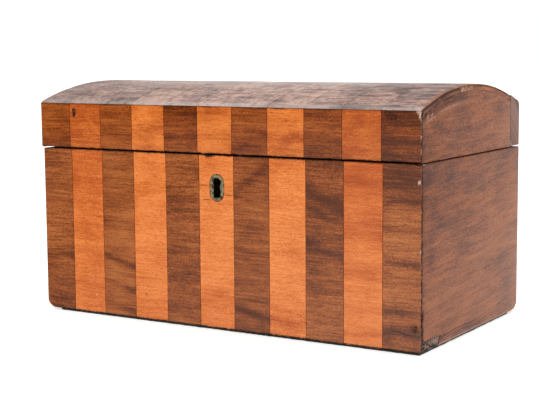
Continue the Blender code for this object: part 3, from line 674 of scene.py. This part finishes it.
def carve(piece, plane, surface, hollows):
    """Cuts hollows into a sheet from its surface, each an outline and a depth, on the front or end plane."""
    inward = 1 if surface < 0 else -1
    for outline, depth in hollows:
        form = bmesh.new()
        rows = []
        for level in (surface - inward * 0.001, surface + inward * depth * MM):
            corners = [(a * MM, b * MM) for a, b in outline]
            places = [(a, level, b) if plane == "front" else (level, a, b) for a, b in corners]
            rows.append([form.verts.new(place) for place in places])
        form.faces.new(rows[0])
        form.faces.new(rows[1][::-1])
        for i in range(len(outline)):
            j = (i + 1) % len(outline)
            form.faces.new((rows[0][j], rows[0][i], rows[1][i], rows[1][j]))
        bmesh.ops.recalc_face_normals(form, faces=form.faces)
        mesh = bpy.data.meshes.new("hollow")
        form.to_mesh(mesh)
        form.free()
        cutter = bpy.data.objects.new("hollow", mesh)
        bpy.context.scene.collection.objects.link(cutter)
        change = piece.modifiers.new("hollow", "BOOLEAN")
        change.object = cutter
        bake(piece)
        bpy.data.objects.remove(cutter)


def oval(x, z, half_width, half_height):
    """An upright oval with straight sides."""
    straight = half_height - half_width
    count = 14
    points = []
    for middle, start in ((z + straight, 0), (z - straight, math.pi)):
        for i in range(count + 1):
            angle = start + math.pi * i / count
            points.append((x + half_width * math.cos(angle), middle + half_width * math.sin(angle)))
    return points


def bake(piece):
    """Applies the piece's modifiers to its mesh."""
    bpy.context.view_layer.update()
    graph = bpy.context.evaluated_depsgraph_get()
    mesh = bpy.data.meshes.new_from_object(piece.evaluated_get(graph))
    piece.modifiers.clear()
    piece.data = mesh


# ---------------------------------------------------------------- ends, top and base


def dome_middle():
    """Height of the dome's axis."""
    return span("lid_top_veneer")[1][2] - DOME_RADIUS


def dome(y, radius):
    """Height at y of a circle of this radius about the dome's axis."""
    return dome_middle() + np.sqrt(radius**2 - (y - DOME_Y) ** 2)


def on_dome(x, y, radius):
    """Points at this radius from the dome's axis, in line with each y of its outer face."""
    angle = np.arcsin((y - DOME_Y) / DOME_RADIUS)
    return np.stack([x, DOME_Y + radius * np.sin(angle), dome_middle() + radius * np.cos(angle)], -1)


# Dark clouds in the end veneers: place (y, z) in mm, half width and half height
END_SPOTS = (
    (-56, 101, 9, 5), (-40, 108, 7, 5), (-64, 92, 9, 6), (10, 96, 8, 3), (-20, 60, 12, 4),
    (30, 40, 14, 5), (-45, 14, 16, 5), (60, 14, 16, 7), (-70, 60, 6, 14), (-74, 112, 8, 7),
    (-58, 84, 14, 2), (-52, 79, 12, 1.5), (48, 44, 5, 9), (6, 19, 7, 3), (-10, 12, 10, 3), (28, 26, 4, 2),
)
LID_END_SPOTS = (
    (-62, 146, 8, 5), (-48, 139, 8, 2), (-22, 133, 10, 2), (20, 158, 14, 3), (44, 150, 8, 5),
    (-70, 126, 9, 3),
)
# Chips in the ends that show pale wood: place in mm, half width and half height
END_CHIPS = (
    (-81.3, 151.2, 1.7, 1.3), (-74.0, 148.6, 0.7, 1.1), (-68.0, 149.8, 0.5, 1.0), (-79.5, 127.0, 0.7, 0.6),
    (-82.0, 66.0, 0.5, 1.5), (-81.0, 119.9, 2.4, 0.35),
)
# Upper edge of the torn corner, in metres, and the ends of the veneer patch behind it
TORN_EDGE = ((-0.0804, -0.0774, -0.066, -0.0523), (0.010, 0.0081, 0.0086, 0.0077))
PATCH_FRONT, PATCH_BACK = -0.057, 0.0118
# Hollows in the right end: the torn corner, cracks up the edge and round the patch, and a notch at the back
END_HOLLOWS = (
    ([(-83.0, 24), (-82.1, 17), (-80.4, 10), (-77.4, 8.1), (-66, 8.6), (-52.3, 7.7), (-55.5, 4.6),
      (-57.2, 1.0), (-83.0, 1.0)], 0.9),
    (crack([(-82.2, 28), (-81.7, 23), (-82.0, 20), (-81.3, 14)], 1.7), 0.8),
    (crack([(-57.2, 2.0), (-54, 5.2), (-48, 7.0), (-42.5, 7.8)], 0.5), 0.7),
    (crack([(-42.5, 7.8), (-26, 7.6), (-8, 7.5), (11.8, 6.8)], 0.35), 0.5),
    (crack([(11.8, 6.9), (11.9, 4.5), (11.4, 1.2)], 0.4), 0.5),
    ([(82.0, 39.0), (80.7, 37.6), (80.5, 36.0), (82.0, 34.6)], 0.9),
)
# The end veneers and the seeds of their figure
END_SEEDS = {
    "right_end_veneer": 61, "left_end_veneer": 77, "lid_right_end_veneer": 82, "lid_left_end_veneer": 81,
}


def end_sheets():
    """Veneer over the two ends of the box and of the lid."""
    for node, seed in END_SEEDS.items():
        a, b = span(node)
        lid = node.startswith("lid")
        surface, back, sign = (b[0], a[0], 1) if "right" in node else (a[0], b[0], -1)
        y, z = np.meshgrid(steps(a[1], b[1], 0.002, 0.0012), steps(a[2], b[2], 0.0014, 0.0012))
        low = a[2]
        if lid:
            low -= LID_END_DROP
            z = low + (z - a[2]) * (b[2] - low) / (b[2] - a[2])
        fall = rounding(z - low, 0.0006) + rounding(y - a[1], 0.0003)
        if lid:
            arch = dome(y, END_RADIUS)
            z = low + (z - low) / (b[2] - low) * (arch - low)
            fall += rounding(arch - z, 0.0002) + rounding(b[1] - y, 0.0002)
        else:
            z = lifted(y, z, b[1], low, b[2], CORNER_RADIUS - (low - 0.0015) / 2)
            fall += rounding(b[2] - z, 0.0005) + rounding(b[1] - y, 0.0011)
        fall += 0.00006 * (1 + noise(y * 40, z * 50, 5))
        outer = np.stack([surface - sign * np.minimum(fall, MOST_FALL), y, z], -1)
        inner = np.stack([np.full(y.shape, back), y, z], -1)
        body = "lid" if lid else "case"
        piece = slab(node.replace("veneer", "sheet"), outer, inner, "end_walnut", body, [node])
        if node == "right_end_veneer":
            carve(piece, "end", surface, END_HOLLOWS)
        coat(piece, (lid_end_paint if lid else box_end_paint)(surface, seed))


def end_coat(y, z, spots, slope, tone, dark_marks_and_shade, pale_marks_and_glare, pale_rub_and_highlight, seed):
    """What both kinds of end share: fine grain at a slope, dark clouds, painted glare and a worn back edge.
    """
    streak = sum(0.24 * blot(y, z, np.array(s) * MM) for s in spots)
    streak = streak * (1 + 0.5 * noise(y * 120, z * 420, seed + 4))
    streak += 0.10 * noise(y * 38 + z * 25, z * 60 - y * 30, seed + 5)
    streak += 0.10 * np.clip(noise(y * 60 + z * 40, z * 330, seed + 6), 0, 1)
    across = z - slope * y + 0.0015 * noise(y * 30, z * 30, seed + 8)
    back = y.max() - y
    # Painted glare: a pale reflection haze towards the back, along the back edge and towards the bottom
    glare = np.clip((y + 0.07) / 0.15, 0, 1) + near(back, 0.03) + np.clip(1 - z / 0.09, 0, 1)
    return {
        "grain": np.stack([y, across, np.full(len(y), 2.3 * seed)], -1),
        "tone": tone - 0.125 + 0.13 * np.clip((y + 0.08) / 0.16, 0, 1) + 0.23 * (1 - z / 0.12),
        "pale_marks_and_glare": pale_marks_and_glare + 0.05 * glare,
        "streak": streak,
        "dark_marks_and_shade": np.clip(dark_marks_and_shade, 0, 0.95),
        "pale_rub_and_highlight": np.clip(pale_rub_and_highlight + 0.3 * near(back, 0.001) + chipped(y, z, END_CHIPS), 0, 1),
    }


def box_end_paint(surface, seed):
    """Colouring of an end of the box, with painted shade under the edge of its torn corner and in its cracks,
    and a veneer patch behind it.
    """

    def paint(points):
        x, y, z = points.T
        front, low = y - y.min(), z - z.min()
        rough = 1 + 0.7 * noise(y * 130, z * 200, seed)
        sunk = np.abs(surface - x)
        bare = (sunk > 0.00085) * (low < 0.0095) * (y < -0.05)
        darkening = 0.35 * near(front, 0.009) + 0.5 * near(front, 0.0015) + 0.25 * near(low, 0.005)
        darkening += 0.25 * near(z.max() - z, 0.005)
        # Painted shadow under the torn edge and along the front of the bare wood
        darkening += bare * (1.1 * near(np.abs(z - np.interp(y, *TORN_EDGE)), 0.0022) + 0.9 * near(front, 0.0035))
        # Painted shade in the crack up the front edge
        darkening += 1.2 * blot(y, z, (-0.0822, 0.021, 0.0018, 0.0090))
        # Painted contact shadow along the foot, in front of the patch
        darkening += np.clip((0.0008 - low) / 0.0003, 0, 0.9) * (y < PATCH_FRONT)
        # Painted shade in hollows and on edges that fall back
        darkening += 0.9 * np.clip((sunk - 0.00025) / 0.0002, 0, 1) * (1 - 0.85 * bare)
        patch = (y > PATCH_FRONT) & (y < PATCH_BACK) & (low < 0.0062)
        # Painted highlight: a pale line along the rounded bottom edge of the end
        pale_rub_and_highlight = 1.5 * near(low, 0.0020) * (y > PATCH_FRONT)
        coating = end_coat(y, z, END_SPOTS, 0.06, -0.3 * patch, darkening * rough, 0.4 * bare, pale_rub_and_highlight, seed)
        coating["streak"] -= 0.13 * np.exp(-(((z - 0.052 - 0.35 * y) / 0.018) ** 2))
        coating["streak"] += 0.10 * np.exp(-(((z - 0.082 - 0.35 * y) / 0.009) ** 2))
        return coating

    return paint


def lid_end_paint(surface, seed):
    """Colouring of an end of the lid: at the front of its arch a darker band, with a painted highlight line
    under it.
    """

    def paint(points):
        x, y, z = points.T
        front, low, high = y - y.min(), z - z.min(), dome(y, END_RADIUS) - z
        rough = 1 + 0.7 * noise(y * 130, z * 200, seed)
        darkening = 0.35 * near(front, 0.009) + 0.15 * near(front, 0.0015) + 0.25 * near(low, 0.005)
        darkening += 0.42 * near(high, 0.012) * np.clip(-y / 0.03, 0, 1)
        # Painted shade on edges that fall back
        darkening += 0.9 * np.clip((np.abs(surface - x) - 0.00025) / 0.0002, 0, 1)
        band = np.clip((0.0064 - high) / 0.0003, 0, 1) * np.clip((-0.012 - y) / 0.01, 0, 1)
        # Painted highlight: a thin pale line just under the band, at the front
        edge_line = np.exp(-(((high - 0.0066) / 0.0008) ** 2)) * np.clip((-0.005 - y) / 0.02, 0, 1)
        tone = 0.10 - 0.22 * band
        return end_coat(y, z, LID_END_SPOTS, 0.04, tone, darkening * rough, 0.0, 0.26 * edge_line * rough, seed)

    return paint


# How pale each strip of the top is
TOP_TONES = (0.02, 0.03, 0.06, 0.30, 0.34, 0.48, 0.40, 0.46, 0.33, 0.25, 0.16)


def top_sheets():
    """The stripes carried over the dome: faded, dry and crazed, with a pale front edge that is rubbed and
    carries a painted highlight.
    """
    low, high = span("lid_top_veneer")
    for strip in range(1, STRIPS + 1):
        a, b = span(f"lid_strip_{strip:02d}")
        a[0] -= 0.0001 * (strip > 1)
        b[0] += 0.0001 * (strip < STRIPS)
        x, y = np.meshgrid(steps(a[0], b[0], 0.0020, 0.0010), steps(low[1], high[1], 0.0018, 0.0014))
        fall = rounding(y - low[1], 0.0024) + rounding(x - low[0], 0.0012) + rounding(high[0] - x, 0.0012)
        fall += 0.0001 * (1 + noise(x * 110, y * 60, 7)) + 0.00005 * (1 + noise(x * 500, y * 140, 8))
        fall = np.minimum(fall, 0.00092)
        outer, inner = on_dome(x, y, DOME_RADIUS - fall), on_dome(x, y, DOME_RADIUS - TOP_VENEER)
        wood_name = "top_light" if strip % 2 == 0 else "top_dark"
        replaced = ["lid_top_veneer"] if strip == 1 else ()
        name = f"lid_top_sheet_{strip:02d}"
        piece = slab(name, outer, inner, wood_name, "lid", replaced)
        coat(piece, top_paint(a[0], b[0], low, high, TOP_TONES[strip - 1], 80 + strip))


def top_board():
    """The thin board under the top veneer; its warm edge shows as an arc over the ends."""
    low, high = span("lid_top_board")
    x, y = np.meshgrid(steps(low[0], high[0], 0.006, 0.002), steps(low[1], high[1], 0.0025, 0.001))
    edge = rounding(x - low[0], 0.0005) + rounding(high[0] - x, 0.0005)
    outer = on_dome(x, y, BOARD_OUTER_RADIUS - np.minimum(edge, 0.001))
    inner = on_dome(x, y, BOARD_INNER_RADIUS)
    piece = slab("lid_top_board_sheet", outer, inner, "warm_board", "lid", ["lid_top_board"])

    def paint(points):
        x, y, z = points.T
        back = np.clip((y + 0.03) / 0.07, 0, 1)
        # Painted highlight: a pale line along the lower edge of the board's end face, at the front; the
        # scraped patch is real wear
        under = near(np.abs(z - dome(y, BOARD_INNER_RADIUS)), 0.0005) * (np.abs(x) > 0.14)
        under = under * (1 - back) * (0.5 + 0.5 * noise(y * 90, x * 0, 4))
        scraped = np.clip(noise(y * 420, z * 300, 3), 0, 1) * (np.abs(y + 0.012) < 0.011)
        return {
            "grain": np.stack([y, z, x * 0], -1),
            "tone": -0.50 + 0.58 * back + 0.25 * noise(y * 140, x * 0, 6),
            "pale_marks_and_glare": 0.02 * back,
            "pale_rub_and_highlight": np.clip(0.35 * under + 1.2 * scraped, 0, 0.8),
            "dark_marks_and_shade": 0.3 * near(y - y.min(), 0.004),
        }

    coat(piece, paint)


def top_paint(left, right, low, high, tone, seed):
    """Colouring of a strip of the top: dirt in its seams and cracks, a pale front edge that is worn and
    carries a painted highlight, and painted glare behind.
    """

    def paint(points):
        x, y = points.T[:2]
        rough = 1 + 0.7 * noise(x * 220, y * 120, seed)
        front, edge = y - low[1], np.minimum(high[0] - x, x - low[0])
        edge_line = near(x - left, 0.0006) + near(right - x, 0.0006)
        edge_line = edge_line * np.clip(noise(x * 30, y * 60, seed) + 0.5, 0, 1)
        dry = np.clip(noise(x * 330 + y * 90, y * 190, 2) - 0.2, 0, 1)
        dry = dry * np.clip(0.7 + noise(x * 26, y * 26, 3), 0.1, 1)
        darkening = 0.9 * edge_line + 0.6 * dry + 0.2 * np.clip(noise(x * 70, y * 45, 9) - 0.1, 0, 1)
        for a, b, width, deep, strength in TOP_MARKS:
            darkening = darkening + strength * blot(x - 0.35 * (y - b * MM), y, np.array((a, b, width, deep)) * MM)
        # Near the ends: the worn, rounded-over edge in warm wood, with a painted highlight
        scuffed_and_lit = 1.2 * near(edge, 0.0055)
        lines = np.clip(noise(x * 75 + y * 60, y * 400, 21) - 0.1, 0, 1) * np.clip(0.45 + x / 0.16, 0.15, 1)
        lines = 1.4 * lines + 0.5 * np.clip(noise(x * 200 - y * 150, y * 420, 22) - 0.1, 0, 1)
        # Pale front band: the rubbed, rounded edge, with a painted highlight on it
        front_band_and_highlight = 0.52 * np.clip(1.35 - front / 0.005, 0, 1) * (0.8 + 0.3 * noise(x * 60, y * 30, 11))
        # Painted glare: a pale reflection haze towards the back of the top, away from its ends
        glare = 0.42 * np.clip((y + 0.05) / 0.04, 0, 1) * np.clip((0.135 - np.abs(x)) / 0.05, 0, 1)
        corner = 0.8 * blot(x, y, (0.1515, -0.0825, 0.0022, 0.0020))
        return {
            "grain": np.stack([x + 0.4 * seed, y, np.full(len(x), 1.9 * seed)], -1),
            "tone": tone + 0.2 * noise(x * 40, y * 30, seed + 1),
            "streak": 0.3 * np.clip(noise(x * 60, y * 160, seed + 6), 0, 1) + lines,
            # Paler on the left as painted glare too; the corner spot is a real pale chip
            "pale_marks_and_glare": front_band_and_highlight + 0.08 * (1 - np.clip((x - 0.06) / 0.05, 0, 1)) + glare + corner,
            "dark_marks_and_shade": np.clip(darkening * rough, 0, 0.8),
            "pale_rub_and_highlight": np.clip(scuffed_and_lit * (0.8 + 0.5 * noise(x * 180, y * 100, 5)), 0, 0.9),
        }

    return paint


# Scratches and stains near the front of the top: place in mm, half width, half depth and strength
TOP_MARKS = (
    (43.0, -70.0, 0.5, 6.0, 0.9), (54.0, -70.0, 0.8, 3.0, 0.9), (64.0, -69.0, 1.2, 3.0, 0.7),
    (-18.0, -66.0, 5.0, 2.0, 0.4), (69.0, -66.0, 1.0, 4.0, 0.6), (-70.0, -50.0, 9.0, 4.0, 0.5),
    (120.0, -40.0, 12.0, 6.0, 0.5), (110.0, -60.0, 10.0, 3.0, 0.4),
)


def outlined(name, outlines, low, high, bevel, material, body):
    """A plate facing the front with rounded edges, cut to closed x, z outlines, the later ones holes."""
    curve = bpy.data.curves.new(name, "CURVE")
    curve.dimensions = "2D"
    curve.fill_mode = "BOTH"
    curve.extrude = (high - low) / 2 - bevel
    curve.bevel_depth = bevel
    curve.bevel_resolution = 2
    for outline in outlines:
        spline = curve.splines.new("POLY")
        spline.points.add(len(outline) - 1)
        for point, (a, b) in zip(spline.points, outline):
            point.co = (a, b, 0, 1)
        spline.use_cyclic_u = True
    piece = bpy.data.objects.new(name, curve)
    bpy.context.scene.collection.objects.link(piece)
    piece.matrix_world = Matrix.Translation((0, (low + high) / 2, 0)) @ Matrix.Rotation(math.pi / 2, 4, "X")
    bpy.context.view_layer.update()
    mesh = bpy.data.meshes.new_from_object(piece.evaluated_get(bpy.context.evaluated_depsgraph_get()))
    mesh.transform(piece.matrix_world)
    bpy.data.objects.remove(piece)
    made = bpy.data.objects.new(name, mesh)
    bpy.context.scene.collection.objects.link(made)
    mesh.materials.clear()
    mesh.materials.append(MATERIALS[material])
    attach(made, body)
    return made


def keyhole(x, z, bulb, waist, foot, half_height):
    """A keyhole's outline: a round bulb, a narrow waist and a foot that widens again."""
    head = z + half_height - bulb
    base = z - half_height
    turn = math.asin(waist / bulb)
    count = 18
    points = []
    for i in range(count + 1):
        angle = 3 * math.pi / 2 - turn + (2 * turn - 2 * math.pi) * i / count
        points.append((x + bulb * math.cos(angle), head + bulb * math.sin(angle)))
    right = [(x + waist, base + 2.3 * foot), (x + foot, base + foot), (x + 0.8 * foot, base)]
    return points + right + [(2 * x - a, b) for a, b in reversed(right)]


def escutcheon():
    """A brass rim let into the veneer, rounded by rubbing, about a keyhole."""
    low, high = span("escutcheon")
    middle, half = (low + high) / 2, (high - low) / 2
    bevel = 0.0005
    shape = oval(middle[0], middle[2], half[0] - bevel, half[2] - bevel)
    hole = keyhole(middle[0], middle[2], bulb=0.0036, waist=0.0030, foot=0.0033, half_height=0.0072)
    rim = outlined("escutcheon_rim", [shape, hole], low[1], high[1], bevel, "old_brass", "case")
    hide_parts("escutcheon")


def base_cloth():
    """Baize under the box, thin and ragged at its edges."""
    low, high = span("base_baize")
    u, v = np.meshgrid(np.linspace(0, 1, 260), np.linspace(0, 1, 130))
    x, y = low[0] + u * (high[0] - low[0]), low[1] + v * (high[1] - low[1])
    edge = np.minimum(np.minimum(x - low[0], high[0] - x), np.minimum(y - low[1], high[1] - y))
    ragged = 0.00035 * (1 + noise(x * 400, y * 400, 3)) * near(edge, 0.004)
    x = x - ragged * np.sign(u - 0.5) * (np.abs(u - 0.5) > 0.49)
    y = y - ragged * np.sign(v - 0.5) * (np.abs(v - 0.5) > 0.48)
    under = 0.0001 * (1 + noise(x * 500, y * 500, 4)) * near(edge, 0.003)
    top = np.stack([x, y, np.full(x.shape, high[2])], -1)
    bottom = np.stack([x, y, low[2] + under], -1)
    slab("base_baize_cloth", bottom, top, "baize", "case", ["base_baize"])


# ---------------------------------------------------------------- CAD nodes that stay


def dress_nodes():
    """Materials for the CAD nodes, many of which show as they are."""
    finish = {
        "carcass_wood": "mahogany", "inner_wood": "mahogany", "brass": "brass",
        "green_baize": "baize", "cut_glass": "glass", "end_veneer": "mahogany_y",
        "top_veneer": "mahogany", "dark_veneer": "mahogany", "light_veneer": "mahogany",
    }
    special = {
        "lid_back_rail": "back_walnut", "back_board": "back_board_wood", "bottom_board": "back_board_wood",
        "front_board": "front_mahogany", "left_end_board": "mahogany_y", "right_end_board": "mahogany_y",
        "left_partition": "mahogany_y", "right_partition": "mahogany_y", "lock_cap": "old_brass",
        # The lock case takes the near-black metal, partly painted shade for the keyhole
        "lock_link_plate": "old_brass", "lock_case": "dark_metal",
    }
    slots = {part["node"]: part["material_slot"] for part in frame["record"]["subparts"]}
    for name, node in nodes.items():
        material = MATERIALS[special.get(name, finish[slots[name]])]
        node.data.materials.clear()
        node.data.materials.append(material)


def main():
    """Builds the whole scene."""
    studio()
    camera()
    dress_nodes()
    front_sheets("front_strip", "case", BOX_TONES, BOX_FIGURE, ("satinwood", "walnut"), 0)
    front_sheets("lid_strip", "lid", LID_TONES, LID_FIGURE, ("lid_satinwood", "lid_walnut"), 20)
    end_sheets()
    top_sheets()
    top_board()
    escutcheon()
    base_cloth()


main()
